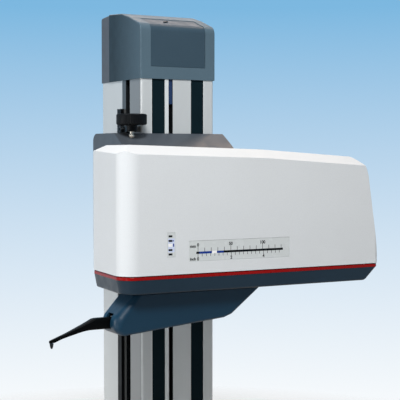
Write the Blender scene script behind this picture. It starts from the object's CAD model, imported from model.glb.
import math

import bmesh
import bpy
from mathutils import Matrix, Vector


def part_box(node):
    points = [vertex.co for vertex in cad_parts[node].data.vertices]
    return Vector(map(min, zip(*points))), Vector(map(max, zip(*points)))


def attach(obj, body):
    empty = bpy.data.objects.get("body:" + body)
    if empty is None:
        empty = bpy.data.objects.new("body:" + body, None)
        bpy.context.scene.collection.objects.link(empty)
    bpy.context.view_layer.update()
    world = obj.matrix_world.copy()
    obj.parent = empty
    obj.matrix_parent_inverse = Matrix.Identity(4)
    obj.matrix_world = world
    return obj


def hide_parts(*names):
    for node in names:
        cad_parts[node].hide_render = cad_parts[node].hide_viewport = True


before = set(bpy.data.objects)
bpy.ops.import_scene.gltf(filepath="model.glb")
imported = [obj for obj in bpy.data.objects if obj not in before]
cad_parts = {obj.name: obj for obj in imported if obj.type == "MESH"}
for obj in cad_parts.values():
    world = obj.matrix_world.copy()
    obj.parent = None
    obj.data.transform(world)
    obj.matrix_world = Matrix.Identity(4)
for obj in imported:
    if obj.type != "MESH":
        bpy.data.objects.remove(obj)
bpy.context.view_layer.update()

MM = 0.001


def corners(node):
    """The lowest and the highest corner of a CAD node, in millimetres."""
    return [[round(c / MM, 3) for c in corner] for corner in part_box(node)]


def front_edges(node):
    """The left, right, low and high edge of a CAD node seen from the front, in millimetres."""
    low, high = corners(node)
    return low[0], high[0], low[2], high[2]


# Sizes that the frame gives, in millimetres
(_, COL_FRONT, _), (COL_X, COL_BACK, COL_TOP) = corners("column_profile")
RAIL_LEFT, RAIL_RIGHT, _, _ = front_edges("left_guide_rail")
FILLER_LEFT, FILLER_RIGHT, _, _ = front_edges("slot_filler")
(_, CAP_FRONT, _), (CAP_X, SEAM_Y, CAP_TOP) = corners("cap_hood")
_, (REAR_X, CAP_BACK, REAR_TOP) = corners("cap_rear_cover")
(_, _, PANEL_LOW), (PANEL_X, PANEL_BACK, _) = corners("cap_front_panel")
(BRACKET_X0, _, BRACKET_LOW), (BRACKET_X1, CHEEK_BACK, BRACKET_TOP) = corners("carriage_cover")
(DRIVE_LEFT, DRIVE_FRONT, COVER_LOW), (DRIVE_RIGHT, DRIVE_BACK, _) = corners("drive_cover")
(_, _, TRIM_LOW), _ = corners("trim_strip")
(_, _, TRAY_LOW), _ = corners("drive_tray")
SCALE, LEVEL = front_edges("scale_window"), front_edges("level_window")
(NOSE_X, HS_Y0, HS_FLOOR), (HS_X1, HS_Y1, HS_TOP) = corners("probe_housing")
(CLAMP_OUT, _, _), (CLAMP_TIP, _, _) = corners("stop_clamp_screw")
(_, _, KNOB_LOW), _ = corners("stop_knob")

# Other sizes, in millimetres and degrees; most of them are as in the part's source
CAP_CROWN, CAP_WALL, CAP_EDGE = 3.2, 3, 2.2
RIDGE_Y, RIDGE_TILT, KNEE_Y, ROOF_TILT, ROOF_R = -4, 15, -30, 20, 12.5
PANEL_DROP, PANEL_BED, PANEL_GAP, PANEL_EDGE = 0.6, 1.6, 0.3, 0.35
REAR_R, REAR_FALL = 4, 2.2
BRACKET_BACK, BRACKET_RIDGE, BRACKET_DROP, BRACKET_WALL = -70.5, -72, 33, 3
BRACKET_EDGE, SHOULDER, SHOULDER_BEND = 2.6, 3, 0.6
CHEEK_IN, CHEEK_R, CHEEK_SINK = -66.5, 12, 1
COVER_TOP, COVER_WALL, COVER_EDGE = 543.5, 3, 3
KNEE_X, FALL_LEFT, FALL_RIGHT = 53, 6, 12.5
ROOF_IN, ROOF_H = 21, 12
FRONT_LEFT_R, CORNER_R, LEFT_TAPER, RIGHT_LEAN = 24, 8, 7, 18.5
END_RUN, END_DROP, END_SOFT = 20, 34, 1.6
TRIM_IN, TRIM_WALL, TRIM_LIP, BEAD_H, GROOVE_IN = 0.8, 6, 1.1, 3.2, 0.4
TRAY_LEFT_IN, TRAY_RIGHT_IN, TRAY_WALL, TRAY_R = 4, 21, 3, 2.5
TRAY_SLOT_X0, TRAY_SLOT_X1, TRAY_SLOT_HALF = -121.3, 61.3, 7.3
PROBE_Y = (HS_Y0 + HS_Y1) / 2
HS_WALL, HS_RISE, NOSE_TOP_R, NOSE_LOW_R = 3, 0.094, 20, 14
HS_EDGE, HS_EDGE_TOP, HS_EDGE_NOSE = 3.5, 6.5, 12
HS_FOOT_IN, HS_FOOT_RUN, HS_FOOT_RISE = 44, 12, 3
ARM_HOLE_LOW, ARM_HOLE_HIGH, ARM_HOLE_HALF, ARM_HOLE_DEEP = 302.5, 322.7, 8, 12
STYLUS_X = -244
KNOB_X, KNOB_Y, KNOB_R, KNOB_H = -82, -84, 21.7, 15.6
CLAMP_HEAD_H, CLAMP_Z, STOP_EDGE = 5, 567.5, 0.6
T_SLOT_Y, T_SLOT_HALF, T_SLOT_BED = -24.5, 12.5, -46.5
FOOT_EDGE, SOCKET_Z, SOCKET_R = 1.6, 90, 10

# How far a cut goes past its piece, how near to a face counts as on it, and the least radius
OVER, NEAR, LEAST_R = 1, 0.1, 0.5

# Points closer than this, in metres, are one point, and faces this even, in degrees, are one face
WELD, ROUGH_WELD, EVEN = 1e-6, 2e-5, 0.3


# Mesh helpers; points are in millimetres
def add(name, data):
    obj = bpy.data.objects.new(name, data)
    bpy.context.scene.collection.objects.link(obj)
    return obj


def make(name, verts, faces):
    mesh = bpy.data.meshes.new(name)
    mesh.from_pydata([[c * MM for c in v] for v in verts], [], faces)
    bm = bmesh.new()
    bm.from_mesh(mesh)
    bmesh.ops.remove_doubles(bm, verts=bm.verts, dist=WELD)
    bmesh.ops.recalc_face_normals(bm, faces=bm.faces)
    bm.to_mesh(mesh)
    bm.free()
    return add(name, mesh)


def place(axis, a, b, h):
    if axis == "x":
        return (h, a, b)
    if axis == "y":
        return (a, h, b)
    return (a, b, h)


def loft(name, rings):
    """A closed solid through rings of equal length."""
    n = len(rings[0])
    verts = [p for ring in rings for p in ring]
    faces = [tuple(range(n)), tuple(range(len(verts) - n, len(verts)))]
    for k in range(len(rings) - 1):
        for i in range(n):
            j = (i + 1) % n
            faces.append((k * n + i, k * n + j, (k + 1) * n + j, (k + 1) * n + i))
    return make(name, verts, faces)


def prism(name, outline, axis, low, high):
    return loft(name, [[place(axis, a, b, h) for a, b in outline] for h in (low, high)])


def block(name, x0, x1, y0, y1, z0, z1):
    return prism(name, [(x0, y0), (x1, y0), (x1, y1), (x0, y1)], "z", z0, z1)


def arc(cx, cy, r, a0, a1, n=12):
    steps = [math.radians(a0 + (a1 - a0) * i / n) for i in range(n + 1)]
    return [(cx + r * math.cos(a), cy + r * math.sin(a)) for a in steps]


def turned(name, profile, axis, at, n, wave=None):
    """A solid of revolution; profile lists (radius, height), wave shapes the radius by the angle."""
    rings = []
    for r, h in profile:
        ring = []
        for i in range(n):
            a = 2 * math.pi * i / n
            q = r * (wave(i, r) if wave else 1)
            p = place(axis, q * math.cos(a), q * math.sin(a), h)
            ring.append((p[0] + at[0], p[1] + at[1], p[2] + at[2]))
        rings.append(ring)
    return loft(name, rings)


def settle(obj):
    """Makes the object's modifiers part of its mesh."""
    graph = bpy.context.evaluated_depsgraph_get()
    mesh = bpy.data.meshes.new_from_object(obj.evaluated_get(graph))
    old = obj.data
    obj.modifiers.clear()
    obj.data = mesh
    bpy.data.meshes.remove(old)


def combine(obj, how, *tools):
    for tool in tools:
        mod = obj.modifiers.new(how, "BOOLEAN")
        mod.operation = how
        mod.solver = "EXACT"
        mod.object = tool
        settle(obj)
        bpy.data.objects.remove(tool)
    return obj


def round_edges(obj, width, segments=3, angle=25, only=None):
    """Rounds the edges sharper than angle; only(x, y, z) picks them by their middle."""
    bm = bmesh.new()
    bm.from_mesh(obj.data)
    bmesh.ops.remove_doubles(bm, verts=bm.verts, dist=ROUGH_WELD)
    bmesh.ops.dissolve_limit(bm, angle_limit=math.radians(EVEN), verts=bm.verts, edges=bm.edges)
    box = [(min(v.co[k] for v in bm.verts), max(v.co[k] for v in bm.verts)) for k in range(3)]
    edges = []
    for e in bm.edges:
        if len(e.link_faces) != 2 or e.calc_face_angle(0) < math.radians(angle):
            continue
        mid = (e.verts[0].co + e.verts[1].co) / (2 * MM)
        if only is None or only(*mid):
            edges.append(e)
    bmesh.ops.bevel(bm, geom=edges, offset=width * MM, offset_type="OFFSET", segments=segments,
                    profile=0.5, affect="EDGES", clamp_overlap=True)
    for v in bm.verts:
        v.co = [min(max(c, low), high) for c, (low, high) in zip(v.co, box)]
    bmesh.ops.recalc_face_normals(bm, faces=bm.faces)
    bm.to_mesh(obj.data)
    bm.free()
    return obj


def gather(name, parts):
    """One object from several."""
    bm = bmesh.new()
    for part in parts:
        bm.from_mesh(part.data)
        bpy.data.objects.remove(part)
    mesh = bpy.data.meshes.new(name)
    bm.to_mesh(mesh)
    bm.free()
    return add(name, mesh)


def copy_node(name, node):
    """A new object with the shape of a CAD node."""
    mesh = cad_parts[node].data.copy()
    mesh.materials.clear()
    bm = bmesh.new()
    bm.from_mesh(mesh)
    bmesh.ops.remove_doubles(bm, verts=bm.verts, dist=WELD)
    bm.to_mesh(mesh)
    bm.free()
    return add(name, mesh)


def paint_over(mesh, material):
    mesh.materials.clear()
    mesh.materials.append(material)


def dress(obj, body, slot, material, *nodes, angle=32):
    """Gives a piece its material, its body and its slot, and hides the CAD nodes it stands for."""
    paint_over(obj.data, material)
    obj.data.shade_smooth()
    obj.data.set_sharp_from_angle(angle=math.radians(angle))
    obj.modifiers.new("normals", "WEIGHTED_NORMAL").keep_sharp = True
    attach(obj, body)
    for node in nodes:
        paint_over(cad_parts[node].data, material)
    if nodes:
        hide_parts(*nodes)
    return obj


# Node trees, with a short word for each node that is used here
class Graph:
    def __init__(self, tree, coord):
        self.nodes = tree.nodes
        self.links = tree.links
        self.coord = self.nodes.new("ShaderNodeTexCoord").outputs[coord]

    def feed(self, socket, value):
        """Links a socket to another one, or sets it to a plain value."""
        if isinstance(value, bpy.types.NodeSocket):
            self.links.new(value, socket)
        else:
            socket.default_value = value

    def noise(self, scale, detail=3, stretch=(1, 1, 1)):
        mapping = self.nodes.new("ShaderNodeMapping")
        mapping.inputs["Scale"].default_value = stretch
        self.links.new(self.coord, mapping.inputs["Vector"])
        node = self.nodes.new("ShaderNodeTexNoise")
        node.inputs["Scale"].default_value = scale
        node.inputs["Detail"].default_value = detail
        self.links.new(mapping.outputs["Vector"], node.inputs["Vector"])
        return node.outputs["Fac"]

    def ramp(self, fac, low, high, a=0.35, b=0.65):
        """Goes from low to high while fac goes from a to b."""
        node = self.nodes.new("ShaderNodeMapRange")
        node.inputs["From Min"].default_value = a
        node.inputs["From Max"].default_value = b
        node.inputs["To Min"].default_value = low
        node.inputs["To Max"].default_value = high
        self.links.new(fac, node.inputs["Value"])
        return node.outputs["Result"]

    def blend(self, fac, one, two):
        node = self.nodes.new("ShaderNodeMix")
        node.data_type = "RGBA"
        first, second = node.inputs[6], node.inputs[7]
        for socket, value in ((first, one), (second, two)):
            self.feed(socket, value if isinstance(value, bpy.types.NodeSocket) else (*value, 1))
        self.links.new(fac, node.inputs[0])
        return node.outputs[2]

    def axis(self, name):
        node = self.nodes.new("ShaderNodeSeparateXYZ")
        self.links.new(self.coord, node.inputs[0])
        return node.outputs[name]

    def vector(self, how, other=(0, 0, 0)):
        """The length of the coordinates, or their product with another vector."""
        node = self.nodes.new("ShaderNodeVectorMath")
        node.operation = how
        node.inputs[1].default_value = other
        self.links.new(self.coord, node.inputs[0])
        return node.outputs["Value"]

    def maths(self, how, one, two=0.0, clamp=False):
        node = self.nodes.new("ShaderNodeMath")
        node.operation = how
        node.use_clamp = clamp
        self.feed(node.inputs[0], one)
        self.feed(node.inputs[1], two)
        return node.outputs[0]

    def above(self, value, limit):
        """1 where value is past a limit in millimetres, 0 elsewhere."""
        return self.maths("GREATER_THAN", value, limit * MM)

    def below(self, value, limit):
        return self.maths("LESS_THAN", value, limit * MM)

    def within(self, value, low, high):
        return self.both(self.above(value, low), self.below(value, high))

    def near(self, value, middle, half):
        return self.within(value, middle - half, middle + half)

    def both(self, one, two):
        return self.maths("MULTIPLY", one, two)

    def most(self, one, two):
        return self.maths("MAXIMUM", one, two)

    def size(self, value):
        return self.maths("ABSOLUTE", value)

    def mix(self, fac, one, two):
        """One shader where fac is 0, the other where it is 1."""
        node = self.nodes.new("ShaderNodeMixShader")
        for socket, value in zip(node.inputs, (fac, one, two)):
            self.links.new(value, socket)
        return node.outputs[0]


class Finish(Graph):
    """A material with one shader, in the piece's own coordinates."""

    def __init__(self, name):
        self.mat = bpy.data.materials.new(name)
        self.mat.use_nodes = True
        super().__init__(self.mat.node_tree, "Object")
        self.shader = self.nodes["Principled BSDF"]

    def set(self, **values):
        for key, value in values.items():
            self.shader.inputs[key.replace("_", " ")].default_value = value

    def colour(self, value):
        self.links.new(value, self.shader.inputs["Base Color"])

    def rough(self, value):
        self.links.new(value, self.shader.inputs["Roughness"])

    def bump(self, height, distance):
        node = self.nodes.new("ShaderNodeBump")
        node.inputs["Distance"].default_value = distance
        self.links.new(height, node.inputs["Height"])
        self.links.new(node.outputs["Normal"], self.shader.inputs["Normal"])


def linear(code):
    """A colour code such as d8dcde as linear red, green and blue."""
    parts = [int(code[i:i + 2], 16) / 255 for i in (0, 2, 4)]
    return [c / 12.92 if c <= 0.04045 else ((c + 0.055) / 1.055) ** 2.4 for c in parts]


def shade(colour, k):
    return [min(c * k, 1) for c in colour]


# Materials: every one is built from noise; places on the part are in millimetres
SKIN = 0.3
FLANK_FRONT, FLANK_BACK, FLANK_TONE = -65, 20, 0.18
COL_FLANK_BACK = -5
FRONT_SLOT_X, FRONT_SLOT_HALF, FRONT_SLOT_BED = (FILLER_LEFT + FILLER_RIGHT) / 2, 3.7, -50
LINE_GAP, LINE_END = 0.1, 1.2
SLOT_BLACK = (0.01, 0.012, 0.014)


def plastic(name, code, rough=0.45, grain=1600, depth=0.00003, spread=0.05, specular=0.5, flank=None):
    """Moulded plastic: a fine grain, and a slow drift of tone and gloss.

    Past flank, a distance from the middle along x, it darkens towards the back.
    """
    g = Finish(name)
    base = linear(code)
    slow = g.ramp(g.noise(9, detail=4), 0, 1)
    fine = g.noise(grain, detail=2)
    tone = g.blend(slow, shade(base, 1 - spread), shade(base, 1 + spread))
    tone = g.blend(g.ramp(fine, 0, 0.5), tone, shade(base, 0.9))
    if flank:
        back = g.ramp(g.axis("Y"), 0.35, 0.95, FLANK_FRONT * MM, FLANK_BACK * MM)
        on_flank = g.above(g.size(g.axis("X")), flank)
        tone = g.blend(g.both(on_flank, back), tone, shade(base, FLANK_TONE))
    g.colour(tone)
    g.rough(g.ramp(g.noise(60, detail=5), rough - 0.05, rough + 0.06))
    g.bump(fine, depth)
    g.set(Specular_IOR_Level=specular)
    return g.mat


def metal(name, code, rough=0.35, stretch=(1, 1, 0.02), metallic=1.0, scale=900, depth=0.00001, spread=0.1):
    """Metal with drawn or ground lines along one axis."""
    g = Finish(name)
    base = linear(code)
    lines = g.noise(scale, detail=4, stretch=stretch)
    slow = g.noise(14)
    tone = g.blend(g.ramp(slow, 0, 1), shade(base, 1 - spread), shade(base, 1 + spread / 2))
    g.colour(g.blend(g.ramp(lines, 0, 0.6), tone, shade(base, 1 - spread)))
    g.rough(g.ramp(lines, rough - 0.06, rough + 0.08))
    g.bump(lines, depth)
    g.set(Metallic=metallic)
    return g.mat


def paint(name, code, rough=0.5, lumps=350, depth=0.0001, spread=0.08):
    """Painted cast metal: orange peel and a faint mottle."""
    g = Finish(name)
    base = linear(code)
    peel = g.noise(lumps)
    tone = g.blend(g.ramp(g.noise(25, detail=5), 0, 1), shade(base, 1 - spread), shade(base, 1 + spread))
    g.colour(tone)
    g.rough(g.ramp(g.noise(90, detail=4), rough - 0.06, rough + 0.08))
    g.bump(peel, depth)
    return g.mat


def profile_metal(name, code):
    """Drawn aluminium, darker beside the T-slot, with bright lines on its front and black slots."""
    g = Finish(name)
    base = linear(code)
    lines = g.noise(700, detail=4, stretch=(1, 1, 0.015))
    slow = g.ramp(g.noise(8, stretch=(1, 1, 0.3)), 0, 1)
    tone = g.blend(slow, shade(base, 0.95), shade(base, 1.03))
    tone = g.blend(g.ramp(lines, 0, 0.4), tone, shade(base, 0.95))
    x, y = g.axis("X"), g.axis("Y")

    flank = g.below(x, 2 * SKIN - COL_X)
    tone = g.blend(g.both(flank, g.below(y, T_SLOT_Y)), tone, shade(base, 0.38))
    behind = g.within(y, T_SLOT_Y, COL_FLANK_BACK)
    tone = g.blend(g.both(flank, behind), tone, shade(base, 0.12))

    beside = g.within(g.size(x), LINE_GAP - RAIL_LEFT, LINE_END - RAIL_LEFT)
    between = g.within(x, RAIL_RIGHT + LINE_GAP, FILLER_LEFT)
    bright = g.both(g.most(beside, between), g.below(y, COL_FRONT + SKIN))
    tone = g.blend(bright, tone, shade(base, 1.22))

    in_t = g.both(g.within(x, SKIN - COL_X, T_SLOT_BED), g.near(y, T_SLOT_Y, T_SLOT_HALF))
    in_wall = g.within(y, COL_FRONT + SKIN, FRONT_SLOT_BED)
    in_front = g.both(g.near(x, FRONT_SLOT_X, FRONT_SLOT_HALF), in_wall)
    g.colour(g.blend(g.most(in_t, in_front), tone, SLOT_BLACK))
    g.rough(g.ramp(lines, 0.18, 0.24))
    g.bump(lines, 0.000002)
    g.set(Metallic=0.12)
    return g.mat


M = {
    "cover": plastic("cover_grey", "dce0e3", 0.48, spread=0.015, depth=0.00002, specular=0.28),
    "window": plastic("window_film", "d3d8d9", 0.25, spread=0.01, depth=0.000005),
    "red": plastic("trim_red", "900a08", 0.25, spread=0.04, depth=0.000005, specular=0.16),
    "red_low": plastic("trim_red_low", "4c0404", 0.35, spread=0.04, depth=0.000005, specular=0.12),
    "tray": plastic("tray_blue_grey", "1c2d3a", 0.36, spread=0.06, specular=0.24),
    "housing": plastic("housing_blue", "0e3044", 0.4, spread=0.06, specular=0.3),
    "hood": plastic("hood_blue_grey", "556a77", 0.36, spread=0.05, specular=0.14, flank=CAP_X - 2 * SKIN),
    "rear": plastic("rear_grey", "51575f", 0.5, spread=0.05, specular=0.3),
    "panel": plastic("panel_blue_grey", "3a4d5a", 0.36, spread=0.04, specular=0.22),
    "bracket": plastic("bracket_grey", "484e55", 0.4, spread=0.06, specular=0.35),
    "black": plastic("black_plastic", "07080a", 0.42, spread=0.15, specular=0.12),
    "arm": plastic("arm_black", "040505", 0.4, spread=0.15, specular=0.06),
    "filler": plastic("filler_blue", "22365a", 0.4, specular=0.3),
    "alu": profile_metal("drawn_aluminium", "cbcfd0"),
    "alu_inner": metal("milled_aluminium", "a9adb0", 0.4, (0.05, 1, 1), metallic=0.9),
    "rail": plastic("dark_strip", "0f1e24", 0.4, grain=900, depth=0.00001, spread=0.2, specular=0.03),
    "steel": metal("turned_steel", "b4b8bb", 0.28, (1, 1, 0.3)),
    "bright": metal("bright_steel", "cfc6b8", 0.38, (1, 1, 0.4), metallic=0.6, spread=0.04),
    "dark_steel": metal("dark_steel", "1c1f22", 0.35, metallic=0.6),
    "brass": metal("brass", "b79a52", 0.3, (1, 1, 0.5)),
    "copper": metal("copper_winding", "a8683a", 0.35, (1, 1, 8), scale=500),
    "foot": paint("foot_paint", "3a4147"),
    "motor": paint("motor_paint", "202326", 0.45),
    "board": plastic("board_green", "1f6b45", 0.4),
    "shoe": plastic("shoe_white", "d8d6cc", 0.5),
    "mark": plastic("mark_dark", "0d1014", 0.5, spread=0.1, specular=0.1),
    "blue": plastic("mark_blue", "15378a", 0.4, spread=0.1, specular=0.2),
    "white": plastic("mark_white", "fbfbfb", 0.35, spread=0.01),
    "glow": plastic("mark_glow", "d0daf2", 0.35, spread=0.02),
}


# Cap
CROWN_TILT = math.degrees(math.atan2(CAP_CROWN, SEAM_Y - RIDGE_Y))


def tan(angle):
    return math.tan(math.radians(angle))


def turn_in(y, z, a, b, t):
    """The corner between slopes a and b, drawn in by t."""
    a, b = math.radians(a), math.radians(b)
    k = t / (1 + math.cos(a - b))
    return (y + k * (math.sin(a) + math.sin(b)), z - k * (math.cos(a) + math.cos(b)))


def hood_outline(t, low=COL_TOP, back=SEAM_Y):
    """The hood's side view, drawn in by t."""
    ridge_z = CAP_TOP - CAP_CROWN
    knee_z = ridge_z - (RIDGE_Y - KNEE_Y) * tan(RIDGE_TILT)
    corner_z = knee_z - (KNEE_Y - CAP_FRONT) * tan(ROOF_TILT)
    reach = ROOF_R * tan((90 - ROOF_TILT) / 2)
    back_z = CAP_TOP + (back - SEAM_Y) * tan(CROWN_TILT) - t / math.cos(math.radians(CROWN_TILT))
    outline = [(back, low), (CAP_FRONT + t, low)]
    outline += arc(CAP_FRONT + ROOF_R, corner_z - reach, ROOF_R - t, 180, 90 + ROOF_TILT)
    outline.append(turn_in(KNEE_Y, knee_z, RIDGE_TILT, ROOF_TILT, t))
    outline.append(turn_in(RIDGE_Y, ridge_z, CROWN_TILT, RIDGE_TILT, t))
    outline.append((back, back_z))
    return outline


def hood_core(t, over):
    """What lies deeper than t under the hood's skin, longer than the hood itself."""
    x = CAP_X + over
    return prism("core", hood_outline(t, COL_TOP - 4 * OVER - over), "x", -x, x)


def build_hood():
    def on_rim(x, y, z):
        return abs(x) > CAP_X - NEAR and y < SEAM_Y - NEAR and z > COL_TOP + NEAR

    hood = prism("cap_hood_shell", hood_outline(0), "x", -CAP_X, CAP_X)
    round_edges(hood, CAP_EDGE, segments=4, angle=40, only=on_rim)
    x = CAP_X - CAP_WALL
    hollow = prism("hollow", hood_outline(CAP_WALL, COL_TOP - OVER, SEAM_Y + OVER), "x", -x, x)
    combine(hood, "DIFFERENCE", hollow)
    x = PANEL_X + PANEL_GAP
    bed = block("bed", -x, x, CAP_FRONT - OVER, PANEL_BACK + PANEL_GAP, PANEL_LOW - PANEL_GAP, CAP_TOP + OVER)
    combine(bed, "DIFFERENCE", hood_core(PANEL_BED, OVER))
    combine(hood, "DIFFERENCE", bed)
    dress(hood, "column", "cap_hood", M["hood"], "cap_hood")


def build_panel():
    panel = block("cap_panel", -PANEL_X, PANEL_X, CAP_FRONT - OVER, PANEL_BACK, PANEL_LOW, CAP_TOP + OVER)
    combine(panel, "INTERSECT", hood_core(PANEL_DROP, OVER))
    combine(panel, "DIFFERENCE", hood_core(PANEL_BED, 2 * OVER))
    round_edges(panel, PANEL_EDGE, segments=2, angle=40)
    dress(panel, "column", "cap_front_panel", M["panel"], "cap_front_panel")


def build_rear():
    def on_rim(x, y, z):
        return abs(x) > REAR_X - NEAR and y > SEAM_Y + NEAR and z > COL_TOP + NEAR

    tilt = math.degrees(math.atan2(REAR_FALL, CAP_BACK - SEAM_Y))
    reach = REAR_R * tan((90 - tilt) / 2)
    low_top = REAR_TOP - REAR_FALL
    outline = [(SEAM_Y, COL_TOP), (CAP_BACK, COL_TOP)]
    outline += arc(CAP_BACK - REAR_R, low_top - reach, REAR_R, 0, 90 - tilt)
    outline.append((SEAM_Y, REAR_TOP))
    rear = prism("cap_rear_shell", outline, "x", -REAR_X, REAR_X)
    round_edges(rear, CAP_EDGE, segments=4, angle=40, only=on_rim)
    x = REAR_X - CAP_WALL
    hollow = block("hollow", -x, x, SEAM_Y - OVER, CAP_BACK - CAP_WALL, COL_TOP - OVER, low_top - CAP_WALL)
    combine(rear, "DIFFERENCE", hollow)
    dress(rear, "column", "cap_rear_cover", M["rear"], "cap_rear_cover")


# Drive unit
ROOF_DEEP, ROOF_FROM, ROOF_TO = -260, -300, 470
END_STEPS = 18


def plan(t, left_in=0, right_in=0):
    """The drive unit's outline from above, drawn in by t."""
    corner_list = [
        (DRIVE_LEFT + left_in, DRIVE_FRONT, 1, 1, FRONT_LEFT_R, 180),
        (DRIVE_RIGHT - right_in, DRIVE_FRONT, -1, 1, CORNER_R, 270),
        (DRIVE_RIGHT - right_in, DRIVE_BACK, -1, -1, CORNER_R, 0),
        (DRIVE_LEFT + LEFT_TAPER + left_in, DRIVE_BACK, 1, -1, CORNER_R, 90),
    ]
    points = []
    for x, y, sx, sy, r, start in corner_list:
        q = max(r - t, LEAST_R)
        points += arc(x + sx * (t + q), y + sy * (t + q), q, start, start + 90)
    return points


def cover_side(t):
    """The cover's front view without its roof: the left bevel and the soft right end."""
    top, low, left = COVER_TOP - t, COVER_LOW - (5 * OVER if t else 0), DRIVE_LEFT + t / 2
    x1 = DRIVE_RIGHT - RIGHT_LEAN
    end_top = top - FALL_LEFT - FALL_RIGHT * (x1 - END_RUN - KNEE_X) / (DRIVE_RIGHT - KNEE_X)
    soft = []
    for i in range(END_STEPS + 1):
        a = math.radians(i * 90 / END_STEPS)
        soft.append((x1 - t - END_RUN + END_RUN * math.sin(a) ** (2 / END_SOFT),
                     end_top - END_DROP + END_DROP * max(math.cos(a), 0) ** (2 / END_SOFT)))
    return [(left - ROOF_IN, low), (left - ROOF_IN, top - 2 * ROOF_H), (left + 2 * ROOF_IN, top + ROOF_H),
            (x1 - t - END_RUN, top + ROOF_H)] + soft + [(DRIVE_RIGHT - t, low)]


def cover_roof(x, z, run, fall, t):
    """A long roof with a bevel at the front and the back, which falls from x, z to the right."""
    y0, y1 = DRIVE_FRONT + t / 2, DRIVE_BACK - t / 2
    across = [(y0 - ROOF_IN, ROOF_DEEP), (y0 - ROOF_IN, -2 * ROOF_H), (y0 + ROOF_IN, 0),
              (y1 - ROOF_IN, 0), (y1 + ROOF_IN, -2 * ROOF_H), (y1 + ROOF_IN, ROOF_DEEP)]
    roof = prism("roof", across, "x", ROOF_FROM, ROOF_TO)
    turn = Matrix.Rotation(math.atan2(fall, run), 4, "Y")
    roof.data.transform(Matrix.Translation(Vector((x, 0, z - t)) * MM) @ turn)
    return roof


def cover_form(name, t):
    """The cover's outside or, with a wall t, its hollow, which is open below."""
    body = prism(name, plan(t), "z", COVER_LOW - (2 * OVER if t else 0), COVER_TOP + 10 * OVER)
    side = prism("side", cover_side(t), "y", DRIVE_FRONT - OVER, DRIVE_BACK + OVER)
    left = cover_roof(DRIVE_LEFT, COVER_TOP, KNEE_X - DRIVE_LEFT, FALL_LEFT, t)
    right = cover_roof(KNEE_X, COVER_TOP - FALL_LEFT, DRIVE_RIGHT - KNEE_X, FALL_RIGHT, t)
    return combine(body, "INTERSECT", side, left, right)


def build_cover():
    def above_rim(x, y, z):
        return z > COVER_LOW + 2

    gap, behind = 0.1, DRIVE_FRONT + COVER_WALL + 2 * OVER
    cover = cover_form("drive_cover_shell", 0)
    round_edges(cover, COVER_EDGE, segments=4, angle=14, only=above_rim)
    combine(cover, "DIFFERENCE", cover_form("hollow", COVER_WALL))
    for x0, x1, z0, z1 in (SCALE, LEVEL):
        hole = block("hole", x0 - gap, x1 + gap, DRIVE_FRONT - OVER, behind, z0 - gap, z1 + gap)
        combine(cover, "DIFFERENCE", hole)
    dress(cover, "carriage", "drive_cover", M["cover"], "drive_cover", angle=20)


def build_trim():
    """A bead that laps over the tray's edge, and a darker groove between it and the cover."""
    low, high = TRIM_LOW - TRIM_LIP, TRIM_LOW + BEAD_H
    bead = [(low, 0.5), (low + 0.2, 0.15), (low + 0.6, 0),
            (high - 0.6, 0), (high - 0.2, 0.15), (high, GROOVE_IN)]
    groove = [(high, GROOVE_IN), (COVER_LOW, GROOVE_IN)]
    for name, key, rings in (("trim_bead", "red", bead), ("trim_groove", "red_low", groove)):
        trim = loft(name, [[(x, y, z) for x, y in plan(TRIM_IN + t)] for z, t in rings])
        hollow = prism("hollow", plan(TRIM_IN + TRIM_WALL), "z", low - OVER, COVER_LOW + OVER)
        combine(trim, "DIFFERENCE", hollow)
        dress(trim, "carriage", "trim_strip", M[key], "trim_strip", angle=50)


def tray_ring(z, t):
    """The tray's outline at height z, drawn in by t; it narrows towards its floor."""
    k = (TRIM_LOW - z) / (TRIM_LOW - TRAY_LOW)
    return [(x, y, z) for x, y in plan(TRIM_IN + t, TRAY_LEFT_IN * k, TRAY_RIGHT_IN * k)]


def build_tray():
    steps = 5
    rings = [tray_ring(TRIM_LOW - TRIM_LIP, 0), tray_ring(TRAY_LOW + TRAY_R, 0)]
    for i in range(1, steps + 1):
        a = math.radians(i * 90 / steps)
        rings.append(tray_ring(TRAY_LOW + TRAY_R * (1 - math.sin(a)), TRAY_R * (1 - math.cos(a))))
    tray = loft("tray_shell", rings)
    hollow = loft("hollow", [tray_ring(TRIM_LOW + OVER, TRAY_WALL),
                             tray_ring(TRAY_LOW + TRAY_WALL, TRAY_WALL + 1)])
    slot = block("slot", TRAY_SLOT_X0, TRAY_SLOT_X1, PROBE_Y - TRAY_SLOT_HALF, PROBE_Y + TRAY_SLOT_HALF,
                 TRAY_LOW - OVER, TRAY_LOW + 2 * TRAY_WALL)
    combine(tray, "DIFFERENCE", hollow, slot)
    dress(tray, "carriage", "drive_tray", M["tray"], "drive_tray", angle=20)


def bracket_section():
    """The bracket's side view: a slope with a soft shoulder, from the drive unit up to the column."""
    steps = 8
    section = [(DRIVE_BACK, BRACKET_LOW), (DRIVE_BACK, BRACKET_TOP - BRACKET_DROP)]
    for i in range(1, steps + 1):
        k = i / steps
        swell = SHOULDER * math.sin(math.pi * k ** SHOULDER_BEND)
        section.append((DRIVE_BACK + (BRACKET_RIDGE - DRIVE_BACK) * k,
                        BRACKET_TOP - BRACKET_DROP * (1 - k) + swell))
    return section + [(BRACKET_BACK, BRACKET_TOP), (BRACKET_BACK, BRACKET_LOW)]


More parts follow.
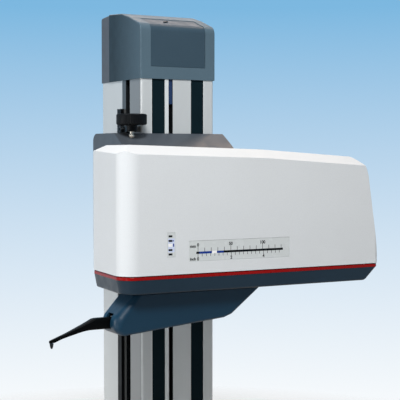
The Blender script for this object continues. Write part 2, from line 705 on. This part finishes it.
def build_bracket():
    def on_outside(x, y, z):
        return z > BRACKET_LOW + 1 and y > DRIVE_BACK + 0.5

    cheek_y, cheek_z = CHEEK_BACK - CHEEK_R, BRACKET_TOP - CHEEK_R
    cheek = [(BRACKET_BACK, BRACKET_LOW), (BRACKET_BACK, BRACKET_TOP)]
    cheek += arc(cheek_y, cheek_z, CHEEK_R, 90, 0) + [(CHEEK_BACK, BRACKET_LOW)]
    bracket = prism("carriage_shell", bracket_section(), "x", BRACKET_X0, BRACKET_X1)
    combine(bracket, "UNION", prism("cheek", cheek, "x", BRACKET_X0, CHEEK_IN))
    round_edges(bracket, BRACKET_EDGE, segments=4, only=on_outside)

    # The hollow behind the slope, and the one in the cheek
    t = BRACKET_WALL
    low = BRACKET_LOW - OVER
    fall = BRACKET_DROP / (BRACKET_RIDGE - DRIVE_BACK)
    roof = t * math.hypot(1, fall)
    inner = [(DRIVE_BACK - OVER, low), (DRIVE_BACK - OVER, BRACKET_TOP - BRACKET_DROP - fall * OVER - roof),
             (BRACKET_RIDGE, BRACKET_TOP - roof), (BRACKET_BACK + OVER, BRACKET_TOP - roof),
             (BRACKET_BACK + OVER, low)]
    combine(bracket, "DIFFERENCE", prism("hollow", inner, "x", BRACKET_X0 + t, BRACKET_X1 - t))
    inner = [(BRACKET_BACK - t, low), (BRACKET_BACK - t, BRACKET_TOP - roof)]
    inner += arc(cheek_y, cheek_z - CHEEK_SINK, CHEEK_R - t, 90, 0) + [(CHEEK_BACK - t, low)]
    combine(bracket, "DIFFERENCE", prism("hollow", inner, "x", BRACKET_X0 + t, CHEEK_IN + OVER))
    dress(bracket, "carriage", "carriage_cover", M["bracket"], "carriage_cover")


# Probe
HS_STEPS = [0, 0.15, 0.4, 0.8, 1.4, 2.2, 3.2, 4.4, 5.8, 7.4, 9.2, 12]

# Places along the arm: x, underside, top, width
ARM_STATIONS = [
    (-160, 302.8, 317.8, 13), (-184, 302.8, 317.8, 13), (-188, 302.8, 317.2, 12.7),
    (-194, 302.6, 314.2, 11.8), (-201, 301.6, 311.0, 10.4), (-208, 300.0, 308.0, 9.2),
    (-223, 296.0, 301.6, 6.8), (-231, 293.7, 298.6, 5.8), (-240, 290.0, 295.4, 4.6),
    (-246.2, 289.3, 293.1, 3.7), (-247, 289.6, 292.8, 3.2),
]
ARM_POINTS, ARM_SQUARE = 24, 0.45

# Radius and height along the stylus
STYLUS = [(2.6, 289.2), (2.6, 288.4), (2.3, 286.9), (2.1, 285.6), (1.5, 283.6), (1.1, 282.6), (0.3, 282.2)]


def housing_outline():
    """Points of the housing's side view, each with the radius of the edge there."""
    mid = HS_FLOOR + NOSE_LOW_R
    lean = math.cos(math.pi / 4)
    nose_top = NOSE_X + NOSE_TOP_R * (1 - lean) + HS_TOP - mid - NOSE_TOP_R * lean
    foot_x = HS_X1 - HS_FOOT_IN
    floor_x = foot_x - HS_FOOT_RUN
    steps = 8

    def floor_at(x):
        return HS_FLOOR + (x - NOSE_X - NOSE_LOW_R) * HS_RISE

    path = [(HS_X1, HS_TOP, HS_EDGE), (nose_top, HS_TOP, HS_EDGE_TOP)]
    first = arc(NOSE_X + NOSE_TOP_R, mid, NOSE_TOP_R, 135, 180, 10)
    for i in range(1, steps):
        k = i / steps
        path.append((nose_top + (first[0][0] - nose_top) * k, HS_TOP + (first[0][1] - HS_TOP) * k,
                     HS_EDGE_TOP + (HS_EDGE_NOSE - HS_EDGE_TOP) * k))
    path += [(x, z, HS_EDGE_NOSE) for x, z in first]
    low = arc(NOSE_X + NOSE_LOW_R, mid, NOSE_LOW_R, 180, 270, 14)[1:]
    for i, (x, z) in enumerate(low):
        path.append((x, z, HS_EDGE_NOSE + (HS_EDGE - HS_EDGE_NOSE) * (i + 1) / len(low)))
    return path + [(floor_x, floor_at(floor_x), HS_EDGE), (foot_x, floor_at(foot_x) + HS_FOOT_RISE, HS_EDGE)]


def housing_ring(y, depth, t, rise):
    """The side view at y, drawn in for its rounded edge and by the wall t."""
    path = housing_outline()
    ring = []
    for i, (x, z, r) in enumerate(path):
        xa, za, _ = path[i - 1]
        xb, zb, _ = path[(i + 1) % len(path)]
        r = max(r - t, LEAST_R)
        inset = t + (r - math.sqrt(max(r * r - (r - depth) ** 2, 0)) if depth < r else 0)
        if z > HS_TOP - NEAR:
            way = -1 if i == 0 else 1
            ring.append((x + way * inset * math.sqrt(2), y, HS_TOP + rise))
            continue
        nx, nz = za - zb, xb - xa
        size = math.hypot(nx, nz)
        ring.append((x + inset * nx / size, y, z + inset * nz / size))
    return ring


def housing_form(name, t=0.0, rise=0.0):
    y0, y1 = HS_Y0 + t, HS_Y1 - t
    return loft(name, [housing_ring(y0 + d, d, t, rise) for d in HS_STEPS]
                + [housing_ring(y1 - d, d, t, rise) for d in reversed(HS_STEPS)])


def build_housing():
    housing = housing_form("probe_shell")
    hole = block("hole", NOSE_X - OVER, NOSE_X + ARM_HOLE_DEEP,
                 PROBE_Y - ARM_HOLE_HALF, PROBE_Y + ARM_HOLE_HALF, ARM_HOLE_LOW, ARM_HOLE_HIGH)
    combine(housing, "DIFFERENCE", housing_form("hollow", HS_WALL, OVER), hole)
    dress(housing, "probe_slide", "probe_housing", M["housing"], "probe_housing")


def build_arm():
    def bulge(c):
        return math.copysign(abs(c) ** ARM_SQUARE, c)

    rings = []
    for x, low, high, wide in ARM_STATIONS:
        ring = []
        for i in range(ARM_POINTS):
            a = 2 * math.pi * i / ARM_POINTS
            y = bulge(math.cos(a)) * wide / 2
            z = bulge(math.sin(a)) * (high - low) / 2
            ring.append((x, PROBE_Y + y, (low + high) / 2 + z))
        rings.append(ring)
    dress(loft("arm_shell", rings), "probe_lever", "probe_arm", M["arm"], "probe_arm", angle=40)
    tip = turned("stylus_tip", STYLUS, "z", (STYLUS_X, PROBE_Y, 0), 24)
    dress(tip, "probe_lever", "stylus", M["dark_steel"], "stylus")


# Height stop
def build_knob():
    teeth, tooth_points, tooth_depth = 60, 4, 0.016
    bore, hub, cut = 4.05, 7, 0.6

    def knurl(i, r):
        return 1 - (tooth_depth if i % tooth_points in (0, 3) and r > KNOB_R - 1.2 else 0)

    profile = [(bore, 0), (KNOB_R - 2.2, 0), (KNOB_R - 0.8, 0.5), (KNOB_R, 1.8), (KNOB_R, KNOB_H - 1.8),
               (KNOB_R - 0.8, KNOB_H - 0.5), (KNOB_R - 2.2, KNOB_H), (KNOB_R - 6, KNOB_H),
               (KNOB_R - 6 - cut, KNOB_H - cut), (hub, KNOB_H - cut), (hub - 0.4, KNOB_H), (0.4, KNOB_H)]
    profile = [(r, h + KNOB_LOW) for r, h in profile]
    knob = turned("knob_wheel", profile, "z", (KNOB_X, KNOB_Y, 0), teeth * tooth_points, knurl)
    dress(knob, "stop_wheel", "stop_knob", M["black"], "stop_knob", angle=30)


def build_clamp():
    arm = round_edges(copy_node("stop_bar", "stop_arm"), STOP_EDGE, segments=2, angle=40)
    dress(arm, "stop", "stop_arm", M["black"], "stop_arm")
    shank_r, head_r, socket_r, socket_deep = 3, 4.2, 2.2, 2.6
    under_head = CLAMP_OUT + CLAMP_HEAD_H
    bed = CLAMP_OUT + socket_deep

    def socket(i, r):
        return 1 - 0.07 * (i % 4) / 4 if r <= socket_r else 1

    profile = [(shank_r, CLAMP_TIP), (shank_r, under_head), (head_r, under_head), (head_r, CLAMP_OUT + 0.6),
               (head_r - 0.5, CLAMP_OUT), (socket_r, CLAMP_OUT), (socket_r, bed), (0.3, bed)]
    screw = turned("clamp_screw", profile, "x", (0, T_SLOT_Y, CLAMP_Z), 24, socket)
    dress(screw, "stop", "stop_clamp_screw", M["dark_steel"], "stop_clamp_screw")


# Printed scales on the two windows
FILM, PLATE_Y, PLATE_EDGE = 0.08, DRIVE_FRONT + 0.3, 0.2
ZERO_X, TEN_MM, INCH = -56.2, 10, 25.4
BAR_Z, BAR_HALF, POINTER_HALF, TICK_HALF = 401.1, 1.45, 1.7, 0.3
BAR_LEFT, BAR_RIGHT = -58.8, 76.7
TICKS_ABOVE, LONG_ABOVE, SHORT_ABOVE = 14, 8.2, 6.4
TICKS_BELOW, LONG_BELOW, SHORT_BELOW = 21, 6.6, 5.0
LIT_FROM, POINTER_FROM, POINTER_TO, LIT_TO = ZERO_X + 2, ZERO_X + 21, ZERO_X + 28.5, ZERO_X + 39
UPPER_Z, LOWER_Z, UNIT_X = 409.6, 391.0, ZERO_X - 7.6
DIGIT_SIZE, INCH_SIZE, DIGIT_WEIGHT = 5.8, 5.2, 0.2

# The level window's print: each box is left and right from LEVEL_X, low, high
LEVEL_X = -96.6
LEVEL_GLOW = [(-3.8, 5.6, 403.2, 421.4)]
LEVEL_MARKS = [(-3.2, 2.4, z - 1.3, z + 1.3) for z in (424.2, 418.2, 406.3, 400.6)]
LEVEL_LIT = [(3.2, 5, 410.6, 414.6), (2.8, 4.6, 417.4, 419)]
LEVEL_CENTRE = [(-3.4, 2.6, 410.6, 414.4)]


def build_plates():
    for name, node, (x0, x1, z0, z1) in (
            ("scale_plate", "scale_window", SCALE),
            ("level_plate", "level_window", LEVEL)):
        plate = block(name, x0, x1, PLATE_Y, DRIVE_FRONT + COVER_WALL, z0, z1)
        round_edges(plate, PLATE_EDGE, segments=2, angle=40)
        dress(plate, "carriage", node, M["window"], node)


def bars(name, boxes, key, slot, proud=FILM):
    """Thin printed boxes, each left, right, low, high, that stand proud of a window."""
    sides = ((0, 1, 2, 3), (7, 6, 5, 4), (0, 4, 5, 1), (1, 5, 6, 2), (2, 6, 7, 3), (3, 7, 4, 0))
    verts, faces = [], []
    for x0, x1, z0, z1 in boxes:
        k = len(verts)
        for y in (PLATE_Y - proud, PLATE_Y + FILM):
            verts += [(x0, y, z0), (x1, y, z0), (x1, y, z1), (x0, y, z1)]
        faces += [tuple(k + i for i in side) for side in sides]
    dress(make(name, verts, faces), "carriage", slot, M[key])


def build_scale():
    low, high = BAR_Z - BAR_HALF, BAR_Z + BAR_HALF
    dark = [(LIT_TO, BAR_RIGHT, low, high), (BAR_LEFT, LIT_FROM, low, high)]
    for k in range(TICKS_ABOVE):
        x = ZERO_X + TEN_MM * k
        tall = LONG_ABOVE if k % 5 == 0 else SHORT_ABOVE
        dark.append((x - TICK_HALF, x + TICK_HALF, high, BAR_Z + tall))
    for k in range(TICKS_BELOW):
        x = ZERO_X + INCH / 4 * k
        tall = LONG_BELOW if k % 8 == 0 else SHORT_BELOW
        dark.append((x - TICK_HALF, x + TICK_HALF, BAR_Z - tall, low))
    lit = [(LIT_FROM, POINTER_FROM, low, high), (POINTER_TO, LIT_TO, low, high)]
    pointer = [(POINTER_FROM, POINTER_TO, BAR_Z - POINTER_HALF, BAR_Z + POINTER_HALF)]
    bars("scale_marks", dark, "mark", "scale_window")
    bars("scale_lit", lit, "blue", "scale_window")
    bars("scale_pointer", pointer, "white", "scale_window")


def build_level():
    for name, boxes, key, proud in (
            ("level_glow", LEVEL_GLOW, "glow", FILM / 2),
            ("level_marks", LEVEL_MARKS, "mark", FILM),
            ("level_lit", LEVEL_LIT, "blue", FILM),
            ("level_centre", LEVEL_CENTRE, "white", FILM)):
        placed = [(LEVEL_X + x0, LEVEL_X + x1, z0, z1) for x0, x1, z0, z1 in boxes]
        bars(name, placed, key, "level_window", proud)


def build_label(name, word, x, z, size):
    curve = bpy.data.curves.new("label", "FONT")
    curve.body = word
    curve.size = size * MM
    curve.align_x = "CENTER"
    curve.extrude = FILM * MM
    curve.offset = DIGIT_WEIGHT * MM
    holder = add("label", curve)
    mesh = bpy.data.meshes.new_from_object(holder.evaluated_get(bpy.context.evaluated_depsgraph_get()))
    bpy.data.objects.remove(holder)
    upright = Matrix.Rotation(math.pi / 2, 4, "X")
    mesh.transform(Matrix.Translation(Vector((x, PLATE_Y, z)) * MM) @ upright)
    dress(add(name, mesh), "carriage", "scale_window", M["mark"])


def build_labels():
    words = [("0", ZERO_X, UPPER_Z), ("50", ZERO_X + 50, UPPER_Z), ("100", ZERO_X + 100, UPPER_Z),
             ("mm", UNIT_X, UPPER_Z - 1.6),
             ("0", ZERO_X, LOWER_Z), ("2", ZERO_X + 2 * INCH, LOWER_Z), ("4", ZERO_X + 4 * INCH, LOWER_Z),
             ("inch", UNIT_X, LOWER_Z + 0.4)]
    for k, (word, x, z) in enumerate(words):
        build_label("scale_digit_%d" % k, word, x, z, INCH_SIZE if word == "inch" else DIGIT_SIZE)


# Foot, cap screws and cable socket
def build_foot():
    foot = round_edges(copy_node("foot_plate", "column_foot"), FOOT_EDGE, segments=3, angle=40)
    dress(foot, "column", "column_foot", M["foot"], "column_foot")


def build_cap_screws():
    """Domed heads with a hexagon socket."""
    head_r, socket_r, high = 3.2, 1.6, CAP_BACK + 2
    side_in, low_in, top_in = 13, 15, 20

    def hexagon(i, r):
        return 1 - 0.13 * abs(i % 4 - 2) / 2 if r == socket_r else 1

    head = [(head_r, CAP_BACK), (head_r, high - 1), (3.05, high - 0.5), (2.6, high - 0.12), (1.9, high),
            (socket_r, high), (socket_r, high - 1.1), (0.2, high - 1.3)]
    heads = [turned("head", head, "y", (x, 0, z), 24, hexagon)
             for x in (side_in - CAP_X, CAP_X - side_in) for z in (COL_TOP + low_in, CAP_TOP - top_in)]
    dress(gather("cap_screw_heads", heads), "column", "cap_screws", M["dark_steel"], "cap_screws")


def build_socket():
    """A flange, a ribbed ring and contact pins."""
    flange_r, inner_r, floor_r, pin_r, pin_ring, pins = 14, 7.5, 3, 0.7, 4.6, 5

    def ribs(i, r):
        return 0.975 if r == SOCKET_R and i % 4 in (0, 1) else 1

    shell = [(floor_r, 0), (flange_r - 0.6, 0), (flange_r, 0.6), (flange_r, 3), (flange_r - 1, 4), (10.4, 4),
             (9.6, 4.6), (9.6, 6), (SOCKET_R, 6.4), (SOCKET_R, 14.6), (9.4, 16), (8.1, 16),
             (inner_r, 15.4), (inner_r, 6), (floor_r, 6), (floor_r, 5.4), (0.3, 5.4)]
    shell = [(r, COL_BACK + h) for r, h in shell]
    socket = turned("socket_shell", shell, "y", (0, 0, SOCKET_Z), 96, ribs)
    dress(socket, "column", "cable_socket", M["black"], "cable_socket")

    pin = [(r, COL_BACK + h) for r, h in ((pin_r, 5), (pin_r, 11.4), (0.4, 12), (0.1, 12))]
    parts = []
    for k in range(pins):
        a = math.radians(18 + 360 / pins * k)
        at = (pin_ring * math.cos(a), 0, SOCKET_Z + pin_ring * math.sin(a))
        parts.append(turned("pin", pin, "y", at, 12))
    dress(gather("socket_pins", parts), "column", "cable_socket", M["brass"])


# The nodes that stay as the CAD made them, by material
KEPT = {
    "alu": "column_profile",
    "rail": "left_guide_rail right_guide_rail",
    "filler": "slot_filler",
    "black": "height_scale reader_head panel_latch",
    "alu_inner": "bearing_plate carriage_block drive_frame slide_block slide_neck nut_arm motor_bracket"
                 " screw_supports arm_beam pivot_bracket",
    "steel": "column_screws carriage_screws stop_t_nut lift_screw shaft_coupling motor_shaft traverse_screw"
             " traverse_coupling traverse_shaft traverse_rail upper_bearing lower_bearing motor_posts"
             " pivot_bearings pivot_shaft",
    "bright": "stop_spindle",
    "brass": "lift_nut traverse_nut balance_weight",
    "copper": "probe_sensor",
    "motor": "lift_motor traverse_motor",
    "board": "display_board",
    "shoe": "guide_shoes",
    "tray": "housing_lid",
}


def paint_kept():
    for key, names in KEPT.items():
        for name in names.split():
            paint_over(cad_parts[name].data, M[key])


# Floor, light and camera; the floor's half width is in millimetres, other places are in metres
FLOOR_HALF = 9000
FLOOR_FADE_FROM, FLOOR_FADE_TO = 0.4, 0.85
EVEN_COLOUR, EVEN_LIGHT = (1, 0.99, 0.97, 1), 0.19
SKY_LOW, SKY_HIGH, SKY_PALE, SKY_BLUE = -0.21, 0.13, "f5f9fc", "7db8e0"
SKY_AHEAD, SKY_BEHIND_LIGHT, SKY_TURN_FROM, SKY_TURN_TO = (0.48, 0.877, 0), 0.45, -0.8, 0.2
MIDDLE, WARM, WARMER = (0, -0.1, 0.45), (1, 0.7, 0.46), (1, 0.68, 0.45)
CAMERA_AT, CAMERA_DOWN, CAMERA_TURN = (-0.7558, -1.5147, 0.5302), 2.335, -28.733
CAMERA_LENS, CAMERA_SENSOR = 100.02, 36


def build_floor():
    """A pale floor that fades out around the part, so that the sky shows beyond it."""
    around = ((-1, -1), (1, -1), (1, 1), (-1, 1))
    floor = make("floor", [(x * FLOOR_HALF, y * FLOOR_HALF, 0) for x, y in around], [(0, 1, 2, 3)])
    g = Finish("floor_paper")
    g.colour(g.blend(g.ramp(g.noise(3, detail=2), 0, 1), linear("edf2f5"), linear("f2f5f7")))
    g.set(Roughness=0.9)
    clear = g.nodes.new("ShaderNodeBsdfTransparent")
    away = g.ramp(g.vector("LENGTH"), 0, 1, FLOOR_FADE_FROM, FLOOR_FADE_TO)
    faded = g.mix(away, g.shader.outputs[0], clear.outputs[0])
    g.links.new(faded, g.nodes["Material Output"].inputs["Surface"])
    floor.data.materials.append(g.mat)


def build_world():
    """The camera and the glossy and transmitted rays see the sky, the rest see an even light."""
    world = bpy.data.worlds.new("studio")
    bpy.context.scene.world = world
    world.use_nodes = True
    g = Graph(world.node_tree, "Generated")
    even = g.nodes["Background"]
    even.inputs["Color"].default_value = EVEN_COLOUR
    even.inputs["Strength"].default_value = EVEN_LIGHT

    sky = g.nodes.new("ShaderNodeBackground")
    height = g.ramp(g.axis("Z"), 0, 1, SKY_LOW, SKY_HIGH)
    g.links.new(g.blend(height, linear(SKY_PALE), linear(SKY_BLUE)), sky.inputs["Color"])
    ahead = g.vector("DOT_PRODUCT", SKY_AHEAD)
    strength = g.ramp(ahead, SKY_BEHIND_LIGHT, 1, SKY_TURN_FROM, SKY_TURN_TO)
    g.links.new(strength, sky.inputs["Strength"])

    rays = g.nodes.new("ShaderNodeLightPath").outputs
    seen = rays["Is Camera Ray"]
    for more in ("Is Glossy Ray", "Is Transmission Ray"):
        seen = g.maths("ADD", seen, rays[more], clamp=True)
    either = g.mix(seen, even.outputs[0], sky.outputs[0])
    g.links.new(either, g.nodes["World Output"].inputs["Surface"])


def lamp(name, at, aim, size, power, colour=(1, 1, 1)):
    data = bpy.data.lights.new(name, "AREA")
    data.shape = "RECTANGLE"
    data.size, data.size_y = size
    data.energy = power
    data.color = colour
    obj = add(name, data)
    obj.location = at
    obj.rotation_euler = (Vector(aim) - Vector(at)).to_track_quat("-Z", "Y").to_euler()


def build_lamps():
    lamp("key", (-0.81, -1.53, 2.06), MIDDLE, size=(0.6, 0.6), power=50)
    lamp("side", (-2.4, 0.2, 0.7), MIDDLE, size=(0.9, 0.9), power=19)
    lamp("strip", (-1.9, -1.1, 0.45), MIDDLE, size=(0.4, 1.6), power=4.5)
    lamp("top", (1.15, 0.38, 2.15), (0.05, -0.1, 0.5), size=(0.7, 0.7), power=9, colour=WARM)
    lamp("back", (0.3, 1.9, 2.0), (0, 0, 0.5), size=(2.4, 1.0), power=12.5, colour=WARMER)


def build_camera():
    data = bpy.data.cameras.new("camera")
    data.sensor_width = CAMERA_SENSOR
    data.lens = CAMERA_LENS
    camera = add("camera", data)
    camera.location = CAMERA_AT
    camera.rotation_euler = (math.radians(90 - CAMERA_DOWN), 0, math.radians(CAMERA_TURN))
    bpy.context.scene.camera = camera


for build in (build_hood, build_panel, build_rear, build_cover, build_trim, build_tray, build_bracket,
              build_housing, build_arm, build_knob, build_clamp, build_plates, build_scale, build_level,
              build_labels, build_foot, build_cap_screws, build_socket, paint_kept,
              build_floor, build_world, build_lamps, build_camera):
    build()
bpy.context.scene.view_settings.view_transform = "Standard"
